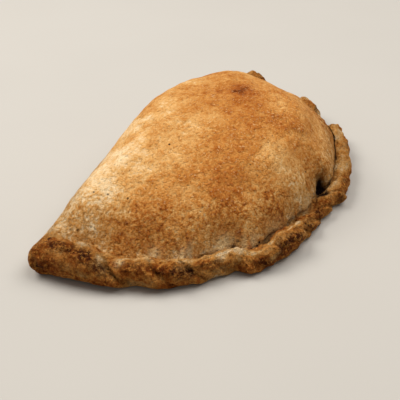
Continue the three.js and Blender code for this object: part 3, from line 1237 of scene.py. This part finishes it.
class Graph:
    """Short way to build a material's nodes."""

    def __init__(self, name: str) -> None:
        """Makes an empty node material.

        Args:
            name: Name of the material.
        """
        self.material = bpy.data.materials.new(name)
        self.material.use_nodes = True
        self.tree = self.material.node_tree
        self.tree.nodes.clear()
        self.place = self.add("ShaderNodeTexCoord").outputs["Object"]

    def add(self, kind: str, **inputs: Input) -> bpy.types.Node:
        """Adds a node.

        Args:
            kind: Type of the node.
            inputs: Value or socket of each input, with _ for a space in its name.

        Returns:
            The node.
        """
        node = self.tree.nodes.new(kind)
        for name, value in inputs.items():
            self.feed(node.inputs[name.replace("_", " ")], value)
        return node

    def feed(self, socket: Socket, value: Input) -> None:
        """Sets an input, or links a socket to it.

        Args:
            socket: The input.
            value: Its value, or the socket that feeds it.
        """
        if isinstance(value, Socket):
            self.tree.links.new(value, socket)
        else:
            socket.default_value = value

    def noise(self, pattern: Pattern) -> Socket:
        """Noise over the object.

        Args:
            pattern: What it looks like.

        Returns:
            Its value, round a half.
        """
        node = self.add("ShaderNodeTexNoise", Vector=self.place, Scale=pattern.scale)
        node.inputs["Detail"].default_value = pattern.detail
        node.inputs["Roughness"].default_value = pattern.roughness
        return node.outputs["Fac"]

    def dots(self, scale: float, size: float, soft: float) -> Socket:
        """Dots, some to a metre, their radius and soft border being shares of their distance."""
        node = self.add("ShaderNodeTexVoronoi", Vector=self.place, Scale=scale, Randomness=1.0)
        return self.span(node.outputs["Distance"], Band(size + soft, size))

    def near(self, place: tuple[float, float, float], radius: float, core: float) -> Socket:
        """One at a place of the object, sinking to nothing round it.

        Args:
            place: The place, in metres.
            radius: Where it has sunk to nothing, in metres.
            core: Where it starts to sink, in metres.

        Returns:
            The value.
        """
        node = self.tree.nodes.new("ShaderNodeVectorMath")
        node.operation = "DISTANCE"
        self.feed(node.inputs[0], self.place)
        node.inputs[1].default_value = place
        return self.span(node.outputs["Value"], Band(radius, core))

    def attribute(self, coat: Coat) -> Socket:
        """One of the crust's coats.

        Args:
            coat: Which one.

        Returns:
            Its value.
        """
        node = self.add("ShaderNodeAttribute")
        node.attribute_name = coat.value
        return node.outputs["Fac"]

    def math(self, operation: str, a: Input, b: Input) -> Socket:
        """Sum, product or other operation on two values.

        Args:
            operation: Name of the operation.
            a: First value or socket.
            b: Second value or socket.

        Returns:
            The result.
        """
        node = self.tree.nodes.new("ShaderNodeMath")
        node.operation = operation
        self.feed(node.inputs[0], a)
        self.feed(node.inputs[1], b)
        return node.outputs[0]

    def times(self, a: Input, b: Input) -> Socket:
        """Product of two values."""
        return self.math("MULTIPLY", a, b)

    def without(self, share: Socket) -> Socket:
        """What a share leaves of the whole."""
        return self.math("SUBTRACT", 1.0, share)

    def add_noise(self, value: Socket, noise: Socket, weight: Input) -> Socket:
        """Moves a value by a noise round a half, times a weight."""
        off = self.math("SUBTRACT", noise, 0.5)
        return self.math("ADD", value, self.times(off, weight))

    def span(self, value: Input, band: Band) -> Socket:
        """Passes a value through a soft threshold.

        Args:
            value: The value or socket.
            band: The threshold.

        Returns:
            What it gives.
        """
        node = self.tree.nodes.new("ShaderNodeMapRange")
        node.interpolation_type = "SMOOTHSTEP"
        self.feed(node.inputs["Value"], value)
        node.inputs["From Min"].default_value = band.low
        node.inputs["From Max"].default_value = band.high
        node.inputs["To Max"].default_value = band.most
        return node.outputs["Result"]

    def ramp(self, value: Input, colours: tuple[tuple, ...]) -> Socket:
        """Colours along a value, evenly spaced from nothing to one.

        Args:
            value: The value or socket.
            colours: The colours.

        Returns:
            The colour.
        """
        node = self.tree.nodes.new("ShaderNodeValToRGB")
        elements = node.color_ramp.elements
        elements[0].color, elements[1].color = colours[0], colours[-1]
        for count, colour in enumerate(colours[1:-1], 1):
            elements.new(count / (len(colours) - 1)).color = colour
        self.feed(node.inputs["Fac"], value)
        return node.outputs["Color"]

    def blend(self, share: Input, a: Input, b: Input) -> Socket:
        """Mixes two colours.

        Args:
            share: Share of the second.
            a: First colour or socket.
            b: Second colour or socket.

        Returns:
            The mixed colour.
        """
        node = self.tree.nodes.new("ShaderNodeMix")
        node.data_type = "RGBA"
        self.feed(node.inputs["Factor"], share)
        # A mix node has its colour sockets behind those for numbers and vectors.
        self.feed(node.inputs[6], a)
        self.feed(node.inputs[7], b)
        return node.outputs[2]

    def relief(self, height: Socket, depth: float, under: Socket | None = None) -> Socket:
        """Small relief.

        Args:
            height: Height from nothing to one.
            depth: Real depth of one, in metres.
            under: Normal of the relief below it.

        Returns:
            The normal.
        """
        node = self.add("ShaderNodeBump", Height=height, Distance=depth, Strength=1.0)
        if under is not None:
            self.feed(node.inputs["Normal"], under)
        return node.outputs["Normal"]

    def finish(self, colour: Socket, roughness: Input, specular: float) -> bpy.types.Node:
        """Ends the material in one shader.

        Args:
            colour: Its colour.
            roughness: Its roughness.
            specular: How strongly it reflects.

        Returns:
            The shader.
        """
        shader = self.add("ShaderNodeBsdfPrincipled", Base_Color=colour, Roughness=roughness)
        shader.inputs["Specular IOR Level"].default_value = specular
        out = self.tree.nodes.new("ShaderNodeOutputMaterial")
        self.tree.links.new(shader.outputs[0], out.inputs["Surface"])
        return shader


@dataclass(frozen=True)
class Pore:
    """A single pore: place in metres, radius in metres and how dark the painted shade in it is.
    """

    place: tuple[float, float, float]
    radius: float
    dark: float


@dataclass(frozen=True)
class CrustFinish:
    """Baked wholemeal dough: pale to golden to dark brown, with bran, char and flour, painted
    shade in its pores, cracks, creases and torn pits, and painted highlight on its crumbs with
    painted shade between them.

    Depths are in metres.
    """

    name: str = "baked_crust"
    pale: tuple = linear(235, 204, 158)
    tan: tuple = linear(216, 164, 98)
    golden: tuple = linear(192, 127, 58)
    brown: tuple = linear(158, 84, 24)
    deep: tuple = linear(90, 36, 2)
    scorched: tuple = linear(82, 36, 8)
    burnt: tuple = linear(40, 17, 4)
    floured: tuple = linear(230, 196, 142)
    # Painted shade in the cracks, creases, valley and torn pits.
    shade_in_hollows: tuple = linear(30, 14, 7)
    bran: tuple = linear(98, 62, 38)
    bran_pale: tuple = linear(230, 194, 142)
    # Painted highlight on the tops of the crusty lumps.
    crumb_highlight: tuple = linear(218, 148, 68)
    # Painted shade inside the pinholes and pores.
    pore: tuple = linear(48, 24, 10)
    cloud: Pattern = Pattern(45, 4.0)
    mottle: Pattern = Pattern(180, 4.0, 0.65)
    grain: Pattern = Pattern(520, 3.0, 0.7)
    flake: Pattern = Pattern(1100, 2.0, 0.7)
    toast_weights: tuple[float, ...] = (0.22, 0.66, 0.60, 0.35)
    half_crusty_grain: float = 4.0
    flecks: Pattern = Pattern(760, 1.0)
    fleck_band: Band = Band(0.57, 0.70, 0.45)
    fleck_patches: Band = Band(0.35, 0.65)
    specks: Pattern = Pattern(730, 1.0)
    speck_band: Band = Band(0.40, 0.30, 0.35)
    crusty_hides_bran: float = 0.85
    dot_scale: float = 190
    dot_size: float = 0.03
    dot_soft: float = 0.07
    dot_patches: Band = Band(0.48, 0.6)
    # How dark the painted shade in the pinholes is.
    dot_shade: float = 0.8
    pore_core: float = 0.35
    flour_band: Band = Band(0.28, 0.52)
    charring: Pattern = Pattern(420, 4.0, 0.8)
    scorch_band: Band = Band(0.33, 0.55)
    black_from: Band = Band(0.4, 1.0)
    black_band: Band = Band(0.48, 0.62, 0.7)
    lumps: Pattern = Pattern(560, 2.0, 0.75)
    # Painted highlight on the lumps' tops and painted shade in the gaps between them.
    crumb_highlight_band: Band = Band(0.52, 0.66, 0.65)
    gap_shade_band: Band = Band(0.45, 0.34, 0.5)
    crags: Pattern = Pattern(330, 5.0, 0.75)
    pore_depth: float = 0.0012
    crag_depth: float = 0.0045
    mottle_depth: float = 0.0029
    lump_depth: float = 0.0034
    grain_depth: float = 0.0014
    roughness: float = 0.66
    roughness_band: Band = Band(0.2, 0.8, 0.25)
    specular: float = 0.07

    def _holes(self, graph: Graph, cloud: Socket, pores: list[Pore]) -> Socket:
        """Pinholes in patches, and the single pores.

        Args:
            graph: The material's graph.
            cloud: The broadest pattern.
            pores: The single pores.

        Returns:
            One in a pore and nothing beside it.
        """
        dots = graph.dots(self.dot_scale, self.dot_size, self.dot_soft)
        dots = graph.times(dots, graph.span(cloud, self.dot_patches))
        holes = graph.times(dots, self.dot_shade)
        for pore in pores:
            single = graph.near(pore.place, pore.radius, self.pore_core * pore.radius)
            holes = graph.math("MAXIMUM", holes, graph.times(single, pore.dark))
        return holes

    def _bran(self, graph: Graph, colour: Socket, mottle: Socket, crusty: Socket) -> Socket:
        """Lays pale and dark bran over a colour.

        Args:
            graph: The material's graph.
            colour: The colour under it.
            mottle: The pattern whose patches hold the pale bran.
            crusty: How crusty the dough is, which hides the bran.

        Returns:
            The new colour.
        """
        smooth = graph.without(graph.times(crusty, self.crusty_hides_bran))
        flecks = graph.span(graph.noise(self.flecks), self.fleck_band)
        flecks = graph.times(flecks, graph.span(mottle, self.fleck_patches))
        colour = graph.blend(graph.times(flecks, smooth), colour, self.bran_pale)
        specks = graph.span(graph.noise(self.specks), self.speck_band)
        return graph.blend(graph.times(specks, smooth), colour, self.bran)

    def _char(self, graph: Graph, colour: Socket) -> Socket:
        """Lays scorched and burnt crumbs over a colour.

        Args:
            graph: The material's graph.
            colour: The colour under them.

        Returns:
            The new colour.
        """
        char = graph.attribute(Coat.CHAR)
        charring = graph.noise(self.charring)
        scorch = graph.times(char, graph.span(charring, self.scorch_band))
        colour = graph.blend(scorch, colour, self.scorched)
        black = graph.span(char, self.black_from)
        black = graph.times(black, graph.span(charring, self.black_band))
        return graph.blend(black, colour, self.burnt)

    def build(self, pores: list[Pore]) -> bpy.types.Material:
        """Builds the node material.

        Args:
            pores: The single pores.

        Returns:
            The material.
        """
        graph = Graph(self.name)
        patterns = [graph.noise(p) for p in (self.cloud, self.mottle, self.grain, self.flake)]
        cloud, mottle, grain, _ = patterns
        crusty = graph.attribute(Coat.CRUSTY)
        # Toasting, with painted highlight along the roll's crests and painted bounce light on its
        # underside.
        toast = graph.attribute(Coat.TOAST_AND_PAINTED_LIGHT)
        for pattern, weight in zip(patterns, self.toast_weights):
            toast = graph.add_noise(toast, pattern, weight)
        half_crusty = graph.times(crusty, graph.without(crusty))
        coarse = graph.times(graph.math("SUBTRACT", grain, 0.5), half_crusty)
        toast = graph.math("ADD", toast, graph.times(coarse, self.half_crusty_grain))
        colour = graph.ramp(toast, (self.pale, self.tan, self.golden, self.brown, self.deep))
        colour = self._bran(graph, colour, mottle, crusty)
        holes = self._holes(graph, cloud, pores)
        # Painted shade inside the pinholes and pores.
        colour = graph.blend(holes, colour, self.pore)
        flour = graph.times(graph.attribute(Coat.FLOUR), graph.span(grain, self.flour_band))
        colour = graph.blend(flour, colour, self.floured)
        colour = self._char(graph, colour)
        lumps = graph.noise(self.lumps)
        # Painted highlight on the tops of the crusty lumps and painted shade in the gaps between
        # them.
        for band, paint in ((self.crumb_highlight_band, self.crumb_highlight), (self.gap_shade_band, self.deep)):
            colour = graph.blend(graph.times(crusty, graph.span(lumps, band)), colour, paint)
        # Painted shade in the cracks, creases, valley and torn pits.
        colour = graph.blend(graph.attribute(Coat.CREASE), colour, self.shade_in_hollows)

        normal = graph.relief(graph.without(holes), self.pore_depth)
        for height, depth in (
            (graph.times(graph.noise(self.crags), crusty), self.crag_depth),
            (mottle, self.mottle_depth),
            (graph.times(lumps, crusty), self.lump_depth),
            (grain, self.grain_depth),
        ):
            normal = graph.relief(height, depth, normal)
        roughness = graph.math("ADD", graph.span(mottle, self.roughness_band), self.roughness)
        shader = graph.finish(colour, roughness, self.specular)
        graph.feed(shader.inputs["Normal"], normal)
        return graph.material


@dataclass(frozen=True)
class TabletopFinish:
    """Plain pale matte tabletop."""

    name: str = "pale_tabletop"
    colour: tuple = linear(186, 181, 173)
    darker: tuple = linear(181, 176, 168)
    cloud: Pattern = Pattern(6, 2.0)
    roughness: float = 0.8
    specular: float = 0.2

    def build(self) -> bpy.types.Material:
        """Builds the node material.

        Returns:
            The material.
        """
        graph = Graph(self.name)
        colour = graph.blend(graph.noise(self.cloud), self.colour, self.darker)
        graph.finish(colour, self.roughness, self.specular)
        return graph.material


@dataclass
class Crust:
    """The calzone itself: one closed body of baked dough."""

    node: str = "crust"
    name: str = "crust_baked"
    form: CrustForm = field(default_factory=CrustForm)
    bake: Bake = field(default_factory=Bake)
    finish: CrustFinish = field(default_factory=CrustFinish)
    inside: float = 0.02
    pore_above: float = 5.0

    def _offset(self, skin: Skin, low: np.ndarray, high: np.ndarray) -> np.ndarray:
        """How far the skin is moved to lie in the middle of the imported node.

        Args:
            skin: The plain skin.
            low: Low corner of the node's box, in millimetres.
            high: High corner of the node's box, in millimetres.

        Returns:
            The offset in plan, in millimetres.
        """
        plain = skin.points.reshape(-1, 3)
        offset = (low + high) / 2 - (plain.min(axis=0) + plain.max(axis=0)) / 2
        offset[2] = 0
        return offset

    def _pores(self, grid: np.ndarray, offset: np.ndarray) -> list[Pore]:
        """Finds the single pores' places on the skin.

        Args:
            grid: Points of the skin, in millimetres.
            offset: How far the skin was moved.

        Returns:
            The pores.
        """
        pores = []
        for spot in PORES:
            off = np.hypot(grid[..., 0] - spot.x - offset[0], grid[..., 1] - spot.y - offset[1])
            off[grid[..., 2] < self.pore_above] = np.inf
            place = grid[np.unravel_index(off.argmin(), off.shape)] * MILLIMETRE
            pores.append(Pore(tuple(place), spot.radius * MILLIMETRE, spot.strength))
        return pores

    def _mesh(self, grid: np.ndarray, coats: dict[Coat, np.ndarray]) -> bpy.types.Mesh:
        """Moves the vertices of a sphere onto the skin.

        Args:
            grid: Stations by rings by three, in millimetres.
            coats: Each coat's value at each point.

        Returns:
            The closed mesh.
        """
        stations, rings = grid.shape[:2]
        body = bmesh.new()
        bmesh.ops.create_uvsphere(body, u_segments=stations, v_segments=rings + 1, radius=1)
        marks = {coat: body.verts.layers.float.new(coat.value) for coat in Coat}
        for vertex in body.verts:
            x, y, z = vertex.co
            at_ring = round(math.acos(max(-1.0, min(1.0, z))) / math.pi * (rings + 1)) - 1
            station = round(math.atan2(y, x) / TURN * stations) % stations
            ring = max(0, min(rings - 1, at_ring))
            at_pole = at_ring != ring
            place = grid[:, ring].mean(axis=0) if at_pole else grid[station, ring]
            vertex.co = place * MILLIMETRE
            for coat in Coat:
                vertex[marks[coat]] = float(coats[coat][station, ring])
        bmesh.ops.recalc_face_normals(body, faces=body.faces)
        for face in body.faces:
            face.smooth = True
        mesh = bpy.data.meshes.new(self.name)
        body.to_mesh(mesh)
        body.free()
        return mesh

    def build(self) -> bpy.types.Object:
        """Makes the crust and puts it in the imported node's place.

        Returns:
            The crust.
        """
        low, high = (np.array(corner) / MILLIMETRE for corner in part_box(self.node))
        skin = self.form.skin()
        offset = self._offset(skin, low, high)
        coats = self.bake.apply(self.form, skin)
        edge = np.array([self.inside, self.inside, 0.0])
        grid = np.clip(skin.points + offset, low + edge, high - edge)
        piece = bpy.data.objects.new(self.name, self._mesh(grid, coats))
        bpy.context.scene.collection.objects.link(piece)
        piece.data.materials.append(self.finish.build(self._pores(grid, offset)))
        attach(piece, "root")
        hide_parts(self.node)
        return piece


@dataclass
class Tabletop:
    """Plain pale surface under the calzone."""

    name: str = "tabletop"
    half: float = 3.0
    finish: TabletopFinish = field(default_factory=TabletopFinish)

    def build(self) -> bpy.types.Object:
        """Makes the surface and stages it.

        Returns:
            The surface.
        """
        body = bmesh.new()
        bmesh.ops.create_grid(body, x_segments=1, y_segments=1, size=self.half)
        mesh = bpy.data.meshes.new(self.name)
        body.to_mesh(mesh)
        body.free()
        top = bpy.data.objects.new(self.name, mesh)
        bpy.context.scene.collection.objects.link(top)
        mesh.materials.append(self.finish.build())
        return top


@dataclass(frozen=True)
class SoftBox:
    """A large soft light: where it stands, how wide it is and how strong."""

    name: str
    place: tuple[float, float, float]
    width: float
    watts: float
    colour: tuple[float, float, float]

    def build(self) -> None:
        """Makes the light, facing the calzone."""
        light = bpy.data.lights.new(self.name, "AREA")
        light.shape = "SQUARE"
        light.size = self.width
        light.energy = self.watts
        light.color = self.colour
        lamp = bpy.data.objects.new(self.name, light)
        lamp.location = self.place
        lamp.rotation_euler = (-Vector(self.place)).to_track_quat("-Z", "Y").to_euler()
        bpy.context.scene.collection.objects.link(lamp)


@dataclass
class Studio:
    """Soft studio light and the camera."""

    lights: tuple[SoftBox, ...] = (
        SoftBox("key", (-0.25, 0.85, 1.15), 0.9, 18.6, (1.0, 0.985, 0.96)),
        SoftBox("top", (0.45, -0.35, 1.3), 1.2, 15.8, (1.0, 0.99, 0.98)),
    )
    room: tuple[float, float, float] = (0.86, 0.83, 0.79)
    room_strength: float = 0.36
    camera_place: tuple[float, float, float] = (-0.316265, -0.204445, 0.23485)
    camera_aim: tuple[float, float, float] = (-0.019165, 0.003655, 0.0)
    lens: float = 67.5
    sensor: float = 36.0
    nearest: float = 0.01
    farthest: float = 20

    def _room(self) -> None:
        """Lights the room evenly."""
        world = bpy.data.worlds.new("room")
        world.use_nodes = True
        back = world.node_tree.nodes["Background"]
        back.inputs["Color"].default_value = (*self.room, 1.0)
        back.inputs["Strength"].default_value = self.room_strength
        bpy.context.scene.world = world
        bpy.context.scene.view_settings.view_transform = "Standard"

    def _camera(self) -> None:
        """Sets the camera up."""
        data = bpy.data.cameras.new("camera")
        data.lens = self.lens
        data.sensor_width = self.sensor
        data.clip_start = self.nearest
        data.clip_end = self.farthest
        camera = bpy.data.objects.new("camera", data)
        camera.location = self.camera_place
        look = Vector(self.camera_aim) - Vector(self.camera_place)
        camera.rotation_euler = look.to_track_quat("-Z", "Y").to_euler()
        bpy.context.scene.collection.objects.link(camera)
        bpy.context.scene.camera = camera

    def build(self) -> None:
        """Makes the lights, the room's light and the camera."""
        for light in self.lights:
            light.build()
        self._room()
        self._camera()


def main() -> None:
    """Builds the calzone, the tabletop and the studio, in that order."""
    logging.basicConfig(level=logging.INFO, format="%(name)s: %(message)s")
    crust = Crust().build()
    LOG.info("%s: %d vertices", crust.name, len(crust.data.vertices))
    top = Tabletop().build()
    LOG.info("%s: %.1f m wide", top.name, top.dimensions.x)
    studio = Studio()
    studio.build()
    LOG.info("studio: %d lights", len(studio.lights))


if __name__ == "__main__":
    main()
